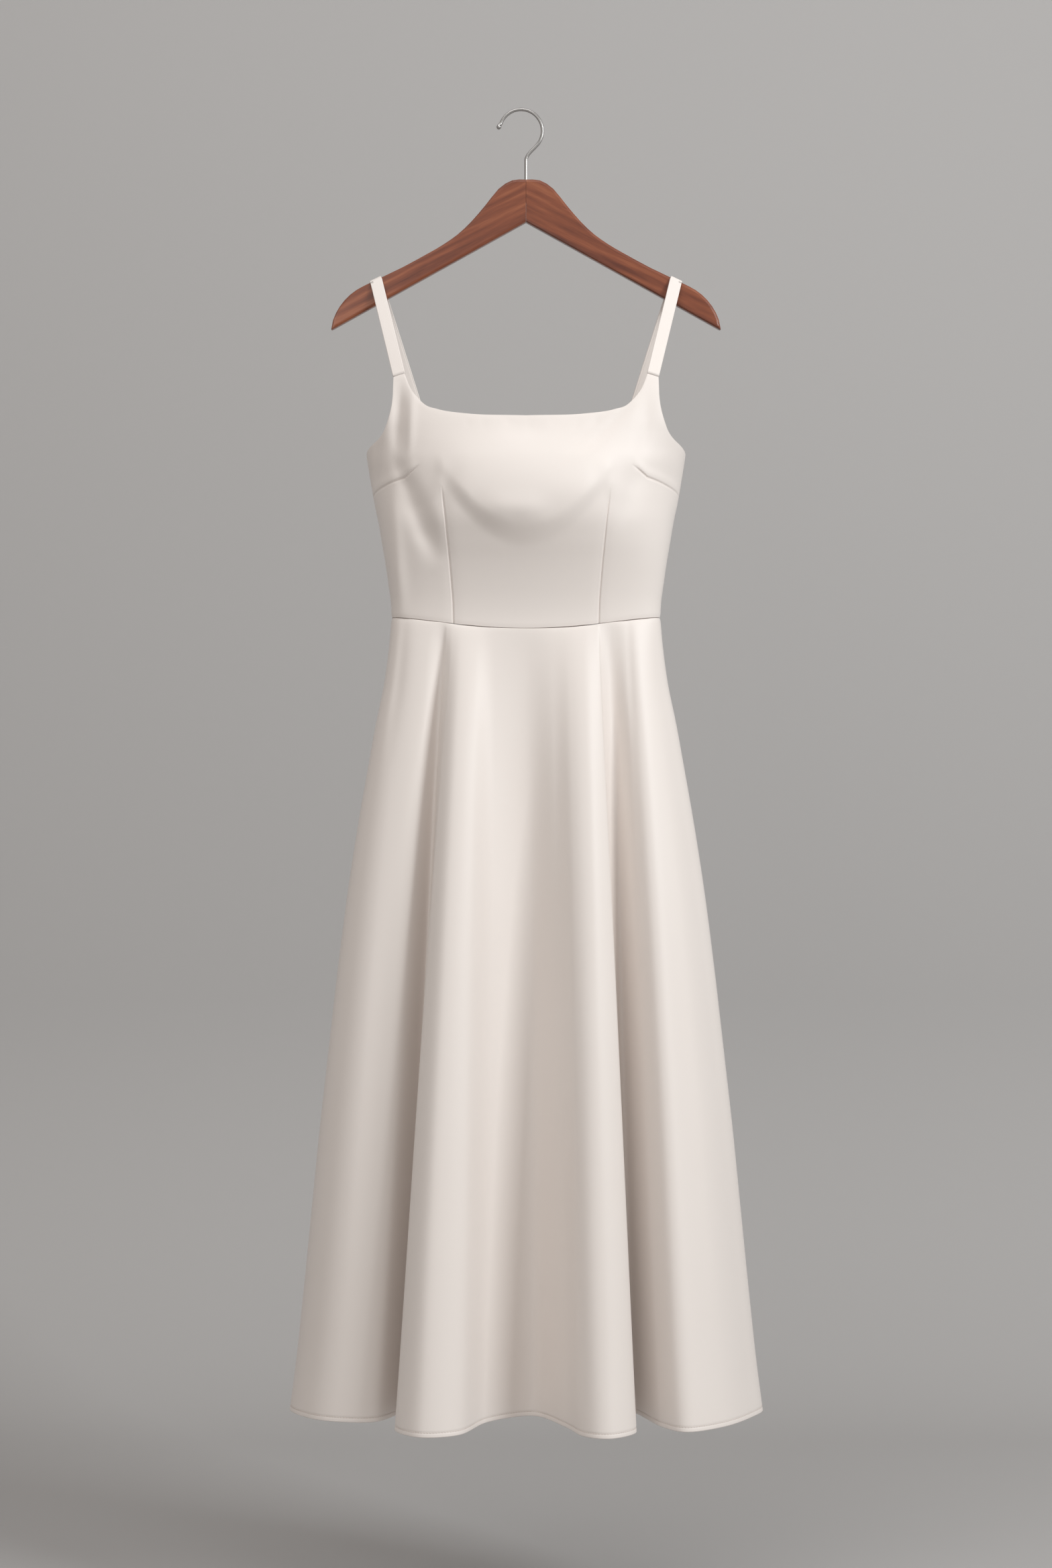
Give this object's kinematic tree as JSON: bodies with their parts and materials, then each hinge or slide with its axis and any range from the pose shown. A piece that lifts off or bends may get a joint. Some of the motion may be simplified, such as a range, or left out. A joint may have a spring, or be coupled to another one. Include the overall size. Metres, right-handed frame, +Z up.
{
  "type": "midi dress on a wooden hanger",
  "caption": "Sleeveless midi dress with thin straps, darted bodice and flared skirt, hanging open and empty on a flat wooden hanger with a wire hook.",
  "frame": {"origin": "underside of the hook above the middle of the hanger, where a rail carries it", "axes": "+Z up, the front of the dress faces -Y, +X to the viewer's right"},
  "size_m": [0.5372, 0.2912, 1.4782],
  "materials": {
    "satin": "heavy ivory satin, soft sheen",
    "zip_tape": "ivory zip tape",
    "wood": "mahogany stain under gloss varnish",
    "steel": "plain steel wire"
  },
  "bodies": {
    "root": {"bodice_front": "satin", "bodice_back_left": "satin", "bodice_back_right": "satin", "skirt_front": "satin", "skirt_back_left": "satin", "skirt_back_right": "satin", "strap_left": "satin", "strap_right": "satin", "back_zip": "zip_tape", "hanger_arm_left": "wood", "hanger_arm_right": "wood", "hanger_hook": "steel"}
  },
  "joints": []
}
